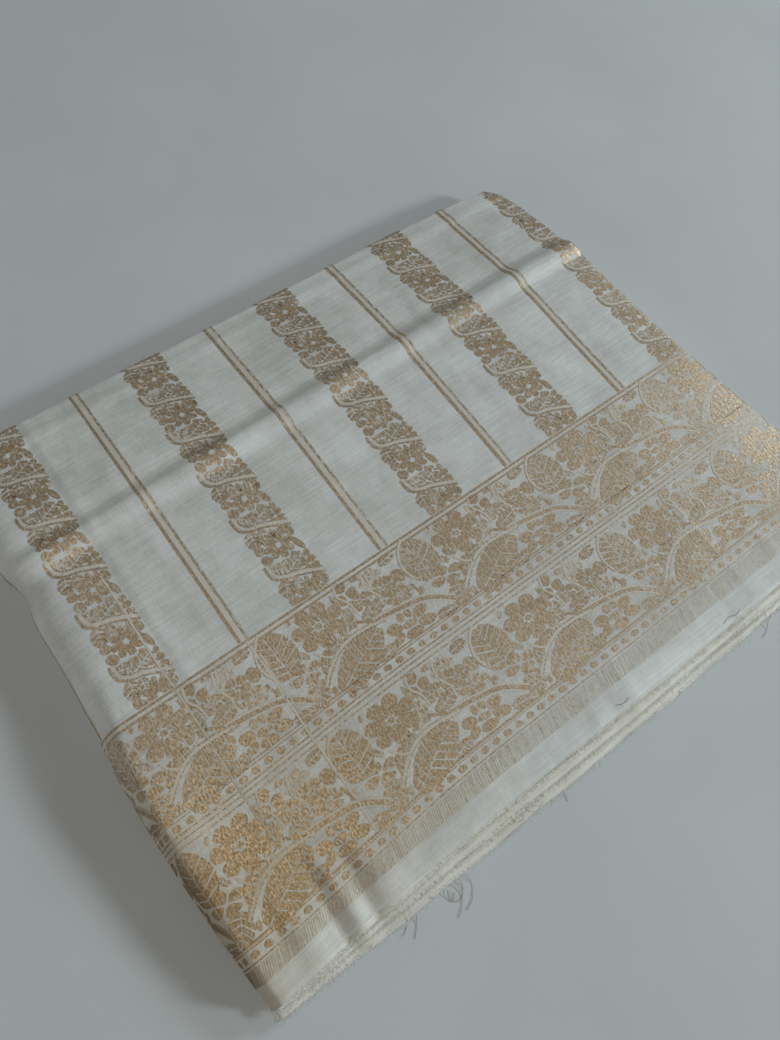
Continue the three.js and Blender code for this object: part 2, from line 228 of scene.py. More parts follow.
def cloth_y(x, b):
    """Where a line of the cloth lies in the plan: the border's lines lean forward at the left."""
    grow = np.clip(b / FRONT_START, 0, 1) * (1 - ease((FRONT_START - b) / (FRONT_START - FRONT)))
    return drawn_out(x, b) - LEAN * ease((LEAN_FROM - x) / (LEAN_FROM - LEAN_FULL)) * grow


def seam_left(y):
    return column(SECTIONS, LEFT, y) + column(SECTIONS, SHOULDER, y)


def left_turn(y, angle, top, base, inset):
    """The left turn: angle runs from 0 at its crest to a half turn at the surface."""
    belly = mix(base, top, column(SECTIONS, BELLY, y))
    upper = angle < pi / 2
    power = np.where(upper, column(SECTIONS, CRISP, y), 1.0)
    reach = np.where(upper, column(SECTIONS, SHOULDER, y), LEFT_FOOT)
    rise = np.abs(np.cos(angle)) ** power
    x = column(SECTIONS, LEFT, y) + inset + reach * (1 - np.sin(angle) ** power)
    return x, np.where(upper, mix(belly, top, rise), mix(belly, base, rise))


def back_roll(x):
    """The back fold's radius, smaller at the corner with the right fold."""
    return mix(BACK_ROLL, CORNER_ROLL, ease((x - CORNER_ROLL_FROM) / CORNER_ROLL_RUN))


def section_line(b):
    """One line across the packet, from under the left side over the top and round the right fold: its places,
    their distances a along the cloth, and the outward direction at each."""
    y0 = cloth_y(seam_left(b), b)
    seam = seam_left(y0)
    angle = np.linspace(pi, 0, TURN_STEPS)
    turn_x, turn_z = left_turn(y0, np.clip(angle, 1e-9, pi - 1e-9), top_height(seam, y0), 0, 0)
    floor_x = np.linspace(turn_x[0] + FLOOR_RUN, turn_x[0], SURFACE_STEPS, endpoint=False)
    left_x = np.concatenate([floor_x, turn_x])
    left_z = np.concatenate([np.zeros(SURFACE_STEPS), turn_z])
    y1 = drawn_out(column(SECTIONS, RIGHT, b) - RIGHT_ROLL, b)
    centre = column(SECTIONS, RIGHT, y1) - RIGHT_ROLL
    top_x = np.arange(seam + TOP_STEP, centre, TOP_STEP)
    top_y = cloth_y(top_x, b)
    top_z = top_height(top_x, top_y)
    edge_z = top_height(centre, y1)
    angle = np.linspace(0, pi, ROLL_STEPS)
    roll_x = centre + RIGHT_ROLL * np.sin(angle)
    roll_z = edge_z - RIGHT_ROLL * (1 - np.cos(angle))
    in_x = np.linspace(centre, centre - RIGHT_RETURN + 1, RETURN_STEPS + 1)[1:]
    right_x = np.concatenate([roll_x, in_x])
    right_z = np.concatenate([roll_z, np.full(RETURN_STEPS, roll_z[-1])])
    x = np.concatenate([left_x, top_x, right_x])
    y = np.concatenate([np.full(len(left_x), y0), top_y, np.full(len(right_x), y1)])
    z = np.concatenate([left_z, top_z, right_z])
    length = np.concatenate([[0], np.cumsum(np.hypot(np.diff(x), np.diff(z)))])
    last_left, first_right = len(left_x) - 1, len(left_x) + len(top_x)
    a = x.copy()
    a[:last_left] = seam - (length[last_left] - length[:last_left])
    a[first_right:] = centre + (length[first_right:] - length[first_right])
    dx, dz = np.gradient(x), np.gradient(z)
    size = np.hypot(dx, dz)
    out = np.stack([-dz / size, np.zeros(len(x)), dx / size], axis=1)
    return np.stack([x, y, z], axis=1), a, out


class Cloth:
    """The cloth on top as a grid: a b for each row, and for each place its a, its point and its normal."""

    def __init__(self):
        flat = np.arange(FLAT_LEFT, FLAT_RIGHT + 0.1, STEP)
        body = np.linspace(FRONT, BACK_EDGE, round((BACK_EDGE - FRONT) / STEP) + 1)
        roll = np.linspace(0, pi, BACK_ROLL_STEPS + 1)[1:]
        tuck = np.array([1.0, 2.0])
        self.b = np.concatenate([body, BACK_EDGE + BACK_ROLL * roll, BACK_EDGE + BACK_ROLL * pi + tuck])
        rows = [self.row(b, flat) for b in body]
        edge_points, edge_a, edge_out = rows[-1]
        radius = back_roll(edge_a)[:, None]
        behind = np.array([0, 1.0, 0])
        for angle in roll:
            lift = behind * sin(angle) - edge_out * (1 - cos(angle))
            rows.append((edge_points + radius * lift, edge_a, edge_out))
        for run in tuck:
            rows.append((edge_points - 2 * radius * edge_out - behind * run, edge_a, edge_out))
        self.points = np.array([row[0] for row in rows])
        self.a = np.array([row[1] for row in rows])
        along = np.gradient(self.points, axis=0)
        across = np.gradient(self.points, axis=1)
        normal = np.cross(across, along)
        self.normals = normal / np.linalg.norm(normal, axis=2, keepdims=True)

    def row(self, b, flat):
        points, a, out = section_line(b)
        left = np.linspace(a[0], FLAT_LEFT, LEFT_COLUMNS, endpoint=False)
        right = np.linspace(FLAT_RIGHT, a[-1], RIGHT_COLUMNS)[1:]
        at = np.concatenate([left, flat, right])
        places = np.stack([np.interp(at, a, points[:, k]) for k in range(3)], axis=1)
        outward = np.stack([np.interp(at, a, out[:, k]) for k in range(3)], axis=1)
        return places, at, outward

    def row_of(self, b):
        return np.clip(np.searchsorted(self.b, b, side="right") - 1, 0, len(self.b) - 2)

    def place(self, spots, lift):
        """Points on the cloth at distances (a, b), raised a little from it."""
        rows = self.row_of(spots[:, 1])
        share = (spots[:, 1] - self.b[rows]) / (self.b[rows + 1] - self.b[rows])
        placed = np.zeros((len(spots), 3))
        for side in (0, 1):
            weight = share if side else 1 - share
            for row in np.unique(rows):
                here = rows == row
                a = self.a[row + side]
                for k in range(3):
                    point = np.interp(spots[here, 0], a, self.points[row + side, :, k])
                    normal = np.interp(spots[here, 0], a, self.normals[row + side, :, k])
                    placed[here, k] += weight[here] * (point + lift[here] * normal)
        return placed


# Making pieces

def new_object(name, data):
    made = bpy.data.objects.new(name, data)
    bpy.context.collection.objects.link(made)
    return made


def new_piece(name, points, faces, material):
    """A mesh from points in millimetres, riding on the packet's one body."""
    mesh = bpy.data.meshes.new(name)
    mesh.from_pydata(((np.asarray(points) - CENTRE) * MM).tolist(), [], faces)
    mesh.polygons.foreach_set("use_smooth", [True] * len(mesh.polygons))
    mesh.materials.append(material)
    piece = new_object(name, mesh)
    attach(piece, "root")
    return piece


def grid_faces(rows, columns, start=0):
    faces = []
    for r in range(rows - 1):
        first = start + r * columns
        for c in range(first, first + columns - 1):
            faces.append((c, c + 1, c + columns + 1, c + columns))
    return faces


def add_uv(piece, spots):
    """A UV map that holds the cloth's own distances, in metres."""
    layer = piece.data.uv_layers.new(name="cloth")
    corner = np.zeros(len(piece.data.loops), int)
    piece.data.loops.foreach_get("vertex_index", corner)
    layer.data.foreach_set("uv", (np.asarray(spots)[corner] * MM).ravel())


def thicken(piece, thickness):
    """Gives a sheet its thickness, inwards from its outer side."""
    made = piece.modifiers.new("thickness", "SOLIDIFY")
    made.thickness = thickness * MM
    made.offset = -1


# The brocade's shapes. A spot is a complex number, a + bj, and a shape is a list of outlines.

PETAL_POINTS, TOOTH, PETAL_SWELL = 16, 0.045, 0.38
# How much room a flower's core takes, as a share of its size, and the smallest that is drawn
CORE_ROOM, LEAST_CORE = 1.35, 0.12
LEAF_START, LEAF_RUN, LEAF_TIP, LEAF_FULLNESS, VEIN_GAP = 0.03, 0.94, 0.99, 0.5, 0.5
PATH_STEPS = 5


def turned(angle):
    return complex(cos(radians(angle)), sin(radians(angle)))


def oval(spot, length, width, angle=0, count=12):
    steps = [2 * pi * i / count for i in range(count)]
    way = turned(angle)
    return [[spot + complex(length / 2 * cos(t), width / 2 * sin(t)) * way for t in steps]]


def petals(spot, radius, count, angle=0, squash=1.0, core=0.16, width=1.02):
    """A flower of egg-shaped petals round a core, squashed across."""
    steps = [2 * pi * i / PETAL_POINTS for i in range(PETAL_POINTS)]
    middle, half = radius * (1 + core * CORE_ROOM) / 2, radius * (1 - core * CORE_ROOM) / 2
    across = width * middle * sin(pi / count)
    outlines = oval(0, 2 * radius * core, 2 * radius * core, 0, 8) if core > LEAST_CORE else []
    for k in range(count):
        way = turned(angle + 360 * k / count)
        outline = []
        for i, t in enumerate(steps):
            tooth = 1 + TOOTH * (-1) ** i * max(0, cos(t))
            edge = complex(half * cos(t), across * sin(t) * (1 + PETAL_SWELL * cos(t)))
            outline.append((middle + edge * tooth) * way)
        outlines.append(outline)
    return [[spot + complex(p.real, p.imag * squash) for p in outline] for outline in outlines]


def leaf(base, tip, width, veins=5, rib=0.24):
    """A veined leaf: its two halves, cut by slanting veins."""
    axis = tip - base
    size = abs(axis)
    way = axis / size
    lean = 0.5 * width / size * 0.5

    def margin(u):
        return width / 2 * sin(pi * min(max(u, 0), 1)) ** LEAF_FULLNESS

    outlines = []
    for side in (1, -1):
        for k in range(veins):
            start = LEAF_START + LEAF_RUN * k / veins
            end = LEAF_START + LEAF_RUN * (k + 1) / veins - VEIN_GAP / size
            along = [mix(end, start, i / 4) for i in range(5)]
            outer = [min(LEAF_TIP, u + lean * sin(pi * u)) for u in along]
            inner = [complex(start * size, side * rib), complex(end * size, side * rib)]
            rim = [complex(u * size, side * max(rib, margin(u))) for u in outer]
            outlines.append([base + p * way for p in inner + rim])
    return outlines


def smooth_path(spots):
    """A smooth curve through a few spots."""
    path = []
    for i in range(len(spots) - 1):
        p0, p1, p2 = spots[max(i - 1, 0)], spots[i], spots[i + 1]
        p3 = spots[min(i + 2, len(spots) - 1)]
        for k in range(PATH_STEPS):
            t = k / PATH_STEPS
            path.append(0.5 * (
                2 * p1 + (p2 - p0) * t + (2 * p0 - 5 * p1 + 4 * p2 - p3) * t**2
                + (3 * p1 - p0 - 3 * p2 + p3) * t**3
            ))
    return path + [spots[-1]]


def ribbon(spots, width, shift=0.0):
    """A line of even width along a smooth curve, moved sideways by a shift."""
    path = smooth_path(spots)
    edges = []
    for i, spot in enumerate(path):
        way = path[min(i + 1, len(path) - 1)] - path[max(i - 1, 0)]
        side = way / abs(way) * 1j
        edges.append((spot + side * (shift + width / 2), spot + side * (shift - width / 2)))
    return [[a[0], a[1], b[1], b[0]] for a, b in zip(edges, edges[1:])]


def outlined_stem(spots, width, line=0.55):
    """A stem left in plain silk between two gold lines."""
    return ribbon(spots, line, width / 2) + ribbon(spots, line, -width / 2)


def bar(low, high):
    """An upright rectangle between two corners."""
    return [[low, complex(high.real, low.imag), high, complex(low.real, high.imag)]]


# The border's floral row: one repeat along a, drawn for the lower row. A tone runs from 0, pale, to 1, dense
# gold, and one below 0 is plain pale thread that lies over the gold.
ROW_REPEAT = 79
ROW_SHIFTS = [-0.5+0j, -2.2+52j]
ROW_STEM = [21-88.8j, 25.4-85j, 32-80.6j, 40-78.3j, 50-78.6j, 58-80j]
ROW_VINE = [57-78.6j, 64-79.2j, 71-80.4j, 78-81.9j, 83.6-84.6j, 90.4-90j]
ROW_SHAPES = [
    (0.75, leaf(10.6-76.8j, 9.2-54.9j, 18, 7)),
    (0.8, petals(32.8-65.3j, 12.2, 7, 12, 0.84, 0.13, 1.06)),
    (0.5, oval(45.3-60.4j, 2.4, 7.4, 8)),
    (0.65, leaf(45.4-75.7j, 46.8-65.2j, 5.6, 3)),
    (0.7, oval(40.2-73.8j, 4.6, 2.4, 25)),
    (1.0, petals(50.7-59.7j, 5.6, 3, 95, 0.95, 0.1, 1.0)),
    (0.8, petals(54.6-66.4j, 5.1, 5, 20, 0.82)),
    (0.9, leaf(51.2-74.8j, 64.6-71.6j, 6.2, 5)),
    (0.3, petals(64.6-60.4j, 5.8, 6, 10, 0.8)),
    (0.6, oval(58.6-56.2j, 4.2, 2.4, 10)),
    (0.85, petals(67.6-67.2j, 5.9, 5, 40, 0.8)),
    (0.6, oval(60.9-67j, 2.4, 5, 0)),
    (0.7, petals(71.4-74.6j, 7, 6, 0, 0.6)),
    (0.9, oval(76.4-66.5j, 6, 6.8, 20)),
    (0.95, leaf(72-57.6j, 81-56j, 4.6, 3)),
    (0.75, oval(82.4-70j, 3, 5, 15)),
    (0.95, leaf(23.6-84.8j, 30-76.2j, 5.4, 3, 0.15)),
    (0.95, leaf(29.8-77.2j, 38.4-76.6j, 4.8, 3, 0.15)),
    (0.5, outlined_stem(ROW_STEM, 1.9)),
    (1.0, ribbon([47.2-73.6j, 51.4-75.9j, 56.4-79.2j], 1.3)),
    (0.8, ribbon(ROW_VINE, 1.7)),
    (0.9, ribbon([78.6-81.6j, 79.8-78.4j, 78.4-73.4j], 1.2)),
    (0.85, leaf(25.4-95.4j, 54.4-80.8j, 15, 9)),
    (0.9, leaf(46.6-94.6j, 56.8-92j, 5.2, 4)),
    (0.9, oval(59.6-86.6j, 7.2, 5.2, -12)),
    (0.85, oval(59.2-91.4j, 6.2, 3.6, 20)),
    (0.8, oval(65-83.4j, 3.4, 4.2, -10)),
    (0.85, oval(69-83.6j, 3.2, 4, 5)),
    (0.9, oval(74.4-85.6j, 7.6, 4.8, 15)),
    (0.9, oval(75-91j, 8.2, 4.8, -12)),
    (0.95, oval(66.8-92.6j, 8.4, 4.2, 0)),
    (0.7, oval(67.2-88.2j, 7, 3.2, 0)),
    (0.75, petals(16.2-79.4j, 8.2, 4, 15, 0.56, 0.12, 1.0)),
    (0.75, leaf(19.4-84.6j, 12.8-95.2j, 9.8, 5)),
    (0.95, leaf(0.8-92.8j, 10.8-93.8j, 4.6, 4)),
    (0.6, leaf(21.6-74.6j, 17.4-69.6j, 2.8, 2)),
    (0.5, ribbon([38.4-77.2j, 43.6-74.6j], 0.8)),
    (0.6, oval(22.4-56.6j, 3.4, 1.7, 60)),
    (0.7, oval(2.2-78.6j, 3.8, 2.2, 60)),
    (0.6, oval(43.8-90.6j, 4.6, 1.9, 30)),
    (0.55, oval(22.4-92.6j, 2.4, 4, -20)),
    (0.6, oval(27.4-89.2j, 3, 1.7, 40)),
    (-0.4, ribbon(ROW_STEM, 1.2)),
    (-0.4, outlined_stem(ROW_VINE, 2.8, 0.8)),
    (-0.4, ribbon([8.4-53.6j, 3.6-58.4j, 1.4-64.6j, 2.6-71j], 1.1)),
    (-0.4, ribbon([24.6-74.6j, 27.6-78.6j, 31-80.6j], 1.0)),
    (-0.4, ribbon([48.6-54.4j, 47.4-59.6j, 50-64.6j, 50.6-70.4j], 0.9)),
    (-0.4, ribbon([62.4-56j, 60.4-62.6j, 63-68.6j, 62.4-73.6j], 0.9)),
]

# Lines along the border: b of the middle, width, tone
BORDER_LINES = [
    (-0.6, 0.9, 1.1),
    (-3.0, 0.9, 1.1),
    (-42.7, 0.6, 0.9),
    (-44.1, 0.6, 0.9),
    (-48.9, 0.6, 0.8),
    (-51.0, 0.6, 0.65),
    (-53.4, 0.6, 0.65),
    (-95.9, 0.8, 1.0),
    (-97.1, 0.4, 0.7),
    (-102.4, 0.7, 0.9),
]
DOT_ROWS = [-46.5, -99.6]
DOT_PITCH, DOT_LENGTH, DOT_WIDTH, DOT_TONE = 6.4, 3.9, 2.9, 0.8
HATCH_LOW, HATCH_HIGH, HATCH_PITCH, HATCH_LINE, HATCH_LEAN, HATCH_TONE = -111.6, -103.4, 1.1, 0.55, 2.0, 0.12

# Pale lines along the creases, across the saree through the border and the stripe behind it: worn threads,
# with a painted sheen where they shine on the ridges
CREASES = [
    [0.9-0.8j, 1.3-20j, 0.7-48j, 1.2-74j, 0.8-95j],
    [-35.2-0.8j, -34.9-24j, -35.6-50j, -34.8-72j],
    [2.6-8j, 2.3-24j, 2.7-40j],
]
FIELD_CREASE = [-35.8+62j, -35.4+44j, -35.7+24j, -35.2+0.8j]
CREASE_WIDTH, CREASE_TONE = 0.85, -0.4

# The field's stripes: pairs of lines, and floral stripes between them
LINE_PAIRS = [-77, 0, 77, 154, 231]
PAIR_HALF, PAIR_LINE, PAIR_FILL, FILL_TONE = 1.95, 1.3, 2.2, -0.3
STRIPES = [-42.5, 36.7, 115, 190.7, 271]
STRIPE_REPEAT, STRIPE_START = 28.6, 0.5
STRIPE_SHAPES = [
    (0.85, petals(1+0.2j, 7, 8, 90, 0.96, 0.12, 1.04)),
    (0.9, oval(9+3.6j, 3.6, 5.6, 10)),
    (0.95, oval(9.1-4j, 3, 7.6, 16)),
    (0.85, oval(-7.7-3.8j, 4.8, 5.4, 25)),
    (0.75, oval(-8.1+2j, 4.6, 4.6, -15)),
    (0.7, oval(-6.6+6.3j, 5.8, 3, -25)),
    (0.6, leaf(-9-9.4j, -1.6-11.2j, 6, 3)),
    (0.85, leaf(-1.8-13.4j, 8-8.9j, 7, 5)),
    (1.0, petals(7.9-15.6j, 4.1, 4, 45, 1, 0.1, 1.05)),
    (0.9, ribbon([-10.4-6.3j, -10.6-9.6j, -9.7-13.1j, -6-15.5j, 0-17.1j, 5-19.2j, 10.6-22j], 1.2)),
    (0.7, ribbon([-8-7.4j, -7.6-10.8j, -4.8-13.4j, 0.8-14.9j, 5.6-17j, 10.8-19.4j], 0.7)),
    (-0.5, ribbon([-9.2-6j, -9-9.8j, -7.9-12.6j, -5.2-14.5j, 0.4-16j, 5.3-18.1j, 10.9-20.7j], 1.5)),
    (0.95, leaf(-6.8-15.9j, -8.4-24.6j, 7.2, 4)),
    (0.75, leaf(-1.6-17.6j, -3.2-25j, 5.4, 3)),
    (0.7, oval(6-23.3j, 5, 3, -15)),
    (0.6, oval(2-21.9j, 2.4, 4.8, -12)),
    (0.6, oval(-1.4-8.4j, 4.6, 1.8, 10)),
    (0.8, oval(4.6-7.2j, 3, 2, -30)),
    (0.8, oval(9.6-10.2j, 2.6, 3.6, -10)),
    (0.75, oval(7.2+7.8j, 4.6, 2, 15)),
    (0.5, oval(9.9-25.6j, 1.8, 3, 0)),
]

# Where the brocade ends, along the cloth and across it, and how it lies on the cloth
LEFT_END, RIGHT_END = -104, 292
BORDER_FRONT, BORDER_BACK, FIELD_FRONT = -112, 0.2, 0.4
BROCADE_LIFT, LIFT_STEP, LIFTS = 0.08, 0.02, 4
OUTLINE_SHAKE, TONE_SHAKE = 0.11, 0.12
# How much fuller the figures are woven than they are charted
FULLER = 1.07
# The smallest scrap of a figure that is kept, in square millimetres
SPECK = 0.0005
# Corners that fall in the same step of this many to a millimetre are one
KEY_STEPS = 500


def fuller(outlines):
    """A figure's outlines, grown about its middle."""
    spots = [spot for outline in outlines for spot in outline]
    middle = sum(spots) / len(spots)
    return [[middle + FULLER * (spot - middle) for spot in outline] for outline in outlines]


def border_shapes(low, high):
    """The border's shapes between two distances along the cloth."""
    shapes = []
    repeats = range(floor(low / ROW_REPEAT) - 1, ceil(high / ROW_REPEAT) + 1)
    for shift in ROW_SHIFTS:
        for repeat in repeats:
            for tone, outlines in ROW_SHAPES:
                moved = [[p + shift + repeat * ROW_REPEAT for p in outline] for outline in fuller(outlines)]
                shapes.append((tone, moved))
    for b, width, tone in BORDER_LINES:
        shapes.append((tone, bar(complex(low, b - width / 2), complex(high, b + width / 2))))
    for b in DOT_ROWS:
        for k in range(ceil(low / DOT_PITCH), floor(high / DOT_PITCH) + 1):
            shapes.append((DOT_TONE, oval(complex(k * DOT_PITCH, b), DOT_LENGTH, DOT_WIDTH)))
    for k in range(ceil(low / HATCH_PITCH), floor(high / HATCH_PITCH) + 1):
        foot = complex(k * HATCH_PITCH, HATCH_LOW)
        head = complex(k * HATCH_PITCH + HATCH_LEAN, HATCH_HIGH)
        shapes.append((HATCH_TONE, [[foot, foot + HATCH_LINE, head + HATCH_LINE, head]]))
    # Pale crease lines: worn threads, with a painted sheen on the ridges
    shapes += [(CREASE_TONE, ribbon(line, CREASE_WIDTH)) for line in CREASES]
    return shapes


def field_shapes(high):
    """The shapes of the field's stripes, from the border line back to a distance across the cloth."""
    shapes = []
    for a in LINE_PAIRS:
        shapes.append((FILL_TONE, bar(complex(a - PAIR_FILL / 2, 0), complex(a + PAIR_FILL / 2, high))))
        for side, tone in ((-PAIR_HALF, 1.0), (PAIR_HALF, 0.6)):
            low = complex(a + side - PAIR_LINE / 2, 0)
            shapes.append((tone, bar(low, complex(low.real + PAIR_LINE, high))))
    for a in STRIPES:
        for k in range(ceil(high / STRIPE_REPEAT) + 1):
            shift = complex(a, STRIPE_START + k * STRIPE_REPEAT)
            for tone, outlines in STRIPE_SHAPES:
                shapes.append((tone, [[p + shift for p in outline] for outline in fuller(outlines)]))
    # Pale crease line: worn threads, with a painted sheen on the ridge
    shapes.append((CREASE_TONE, ribbon(FIELD_CREASE, CREASE_WIDTH)))
    return shapes


def cut(outline, axis, low, high):
    """What is left of an outline between two grid lines."""
    for limit, sign in ((low, 1), (high, -1)):
        kept = []
        for p, q in zip(outline, outline[1:] + outline[:1]):
            dp, dq = sign * (p[axis] - limit), sign * (q[axis] - limit)
            if dp >= 0:
                kept.append(p)
            if dp * dq < 0:
                t = dp / (dp - dq)
                kept.append((p[0] + t * (q[0] - p[0]), p[1] + t * (q[1] - p[1])))
        outline = kept
        if len(outline) < 3:
            return []
    return outline


def signed_area(outline):
    """The area inside an outline, below zero where it runs clockwise."""
    return sum(p[0] * q[1] - q[0] * p[1] for p, q in zip(outline, outline[1:] + outline[:1])) / 2


def lay_brocade(name, cloth, shapes, low_b, high_b, material, random):
    """Cuts the shapes at the cloth's grid lines and lays them on it, as one thin piece."""
    from_surface = cloth.a[:, 0] + FLOOR_RUN
    ends = [np.arange(from_surface.min() + EDGE_STEP, FLAT_LEFT, EDGE_STEP)]
    ends.append(np.arange(FLAT_LEFT, FLAT_RIGHT + 0.1, STEP))
    ends.append(np.arange(FLAT_RIGHT + EDGE_STEP, cloth.a[:, -1].max(), EDGE_STEP))
    columns = np.concatenate(ends)
    rows = cloth.b
    index, spots, tones, lifts, faces = {}, [], [], [], []

    def corner(spot, tone, lift):
        key = (round(spot[0] * KEY_STEPS), round(spot[1] * KEY_STEPS), tone)
        if key not in index:
            index[key] = len(spots)
            spots.append(spot)
            tones.append(tone)
            lifts.append(lift)
        return index[key]

    for number, (tone, outlines) in enumerate(shapes):
        lift = BROCADE_LIFT + LIFT_STEP * (LIFTS if tone < 0 else number % LIFTS)
        tone = round(tone + random.uniform(-TONE_SHAKE, TONE_SHAKE), 3)
        for outline in outlines:
            shake = random.normal(0, OUTLINE_SHAKE, (len(outline), 2))
            outline = [(p.real + da, p.imag + db) for p, (da, db) in zip(outline, shake)]
            outline = cut(outline, 1, low_b, high_b)
            if not outline:
                continue
            at_a = [p[0] for p in outline]
            first = max(0, np.searchsorted(columns, min(at_a), side="right") - 1)
            last = min(len(columns) - 1, np.searchsorted(columns, max(at_a)))
            for c in range(first, last):
                strip = cut(outline, 0, columns[c], columns[c + 1])
                if not strip:
                    continue
                at_b = [p[1] for p in strip]
                top = min(len(rows) - 1, np.searchsorted(rows, max(at_b)))
                for r in range(cloth.row_of(min(at_b)), top):
                    too_low = columns[c] < from_surface[r:r + 2].max()
                    if too_low or columns[c + 1] > cloth.a[r:r + 2, -1].min():
                        continue
                    cell = cut(strip, 1, rows[r], rows[r + 1])
                    face = []
                    for spot in cell:
                        at = corner(spot, tone, lift)
                        if at not in face:
                            face.append(at)
                    area = signed_area([spots[at] for at in face])
                    if abs(area) > SPECK:
                        faces.append(face if area > 0 else face[::-1])
    spots = np.array(spots)
    points = cloth.place(spots, np.array(lifts))
    piece = new_piece(name, points, faces, material)
    add_uv(piece, spots)
    attribute = piece.data.attributes.new("tone", "FLOAT", "POINT")
    attribute.data.foreach_set("value", tones)
    return piece


# Materials

# Colours as linear red, green and blue: each silk's light and shaded one, then the border's and the gold's
RAW_SILK = (0.80, 0.845, 0.85, 1), (0.52, 0.54, 0.53, 1)
PLAIN_SILK = (0.82, 0.82, 0.77, 1), (0.62, 0.61, 0.55, 1)
LAYERED_SILK = (0.78, 0.77, 0.70, 1), (0.64, 0.62, 0.55, 1)
LOOSE_THREAD = (0.42, 0.36, 0.28, 1), (0.22, 0.18, 0.13, 1)
# The last two silk colours are painted shade: warm towards the front left corner, brown where the cloth turns
# down at the left
SILK_FLOATS, SILK_WARM_SHADE, SILK_TURN_SHADE = (0.50, 0.43, 0.33, 1), (1.0, 0.95, 0.88, 1), (0.36, 0.29, 0.19, 1)
GOLD_DARK, GOLD_LIGHT, GOLD_WORN = (0.39, 0.305, 0.205, 1), (0.70, 0.56, 0.395, 1), (0.67, 0.64, 0.575, 1)
# The first two of these gold colours are painted shade: warm towards the front left corner, brown where the
# cloth turns down at the left
GOLD_WARM_SHADE, GOLD_TURN_SHADE, GOLD_AT_FOLDS = (0.83, 0.76, 0.62, 1), (0.21, 0.13, 0.06, 1), (0.52, 0.37, 0.20, 1)
SURFACE = (0.56, 0.60, 0.63, 1), (0.60, 0.64, 0.668, 1)
# Painted shade: warmer and darker towards the front left corner, and browner where the cloth turns down at
# the left:
# the a in metres at which that is full, the a at which it is gone, and its largest share
FRONT_LEFT_WARM_SHADE = (-0.05, 0.08, 1)
TURN_DOWN_SHADE = (-0.075, -0.056, 0.85)


def node(tree, kind, inputs=None, **settings):
    made = tree.nodes.new(kind)
    for key, value in settings.items():
        setattr(made, key, value)
    for key, value in (inputs or {}).items():
        if isinstance(value, bpy.types.NodeSocket):
            tree.links.new(value, made.inputs[key])
        else:
            made.inputs[key].default_value = value
    return made


def new_material(name, settings):
    """A material with its Principled shader, and the tree that it is in."""
    material = bpy.data.materials.new(name)
    material.use_nodes = True
    shader = material.node_tree.nodes["Principled BSDF"]
    for key, value in settings.items():
        shader.inputs[key].default_value = value
    return material, material.node_tree, shader


def cloth_uv(tree):
    return node(tree, "ShaderNodeUVMap", uv_map="cloth").outputs["UV"]


def cloth_place(tree):
    """The cloth's own distances a and b, in metres."""
    place = node(tree, "ShaderNodeSeparateXYZ", {"Vector": cloth_uv(tree)})
    return place.outputs["X"], place.outputs["Y"]


def threads(tree, along, across, detail=2.0):
    """Noise drawn out along one way of the cloth; the two scales are threads or slubs per metre."""
    spot = node(tree, "ShaderNodeMapping", {"Vector": cloth_uv(tree), "Scale": (along, across, 1)})
    inputs = {"Vector": spot.outputs["Vector"], "Scale": 1.0, "Detail": detail}
    return node(tree, "ShaderNodeTexNoise", inputs).outputs["Fac"]


def level(tree, value, low, high, to_low=0, to_high=1):
    made = node(tree, "ShaderNodeMapRange", {
        "Value": value, "From Min": low, "From Max": high, "To Min": to_low, "To Max": to_high,
    })
    return made.outputs["Result"]


def blend(tree, share, first, second, kind="MIX"):
    inputs = {0: share, 6: first, 7: second}
    return node(tree, "ShaderNodeMix", inputs, data_type="RGBA", blend_type=kind).outputs[2]


def combine(tree, first, second, kind="ADD"):
    return node(tree, "ShaderNodeMath", {0: first, 1: second}, operation=kind).outputs[0]


def bump(tree, height, strength, distance):
    inputs = {"Height": height, "Strength": strength, "Distance": distance}
    return node(tree, "ShaderNodeBump", inputs).outputs["Normal"]


def connect(tree, shader, inputs):
    for key, value in inputs.items():
        tree.links.new(value, shader.inputs[key])


def front_left(tree, full, none, most):
    """A share that grows towards the front left corner, from one a to another and across the border; it
    places the painted shade there.
    """
    a, b = cloth_place(tree)
    return combine(tree, level(tree, a, full, none, most, 0), level(tree, b, -0.07, -0.005, 1, 0), "MULTIPLY")


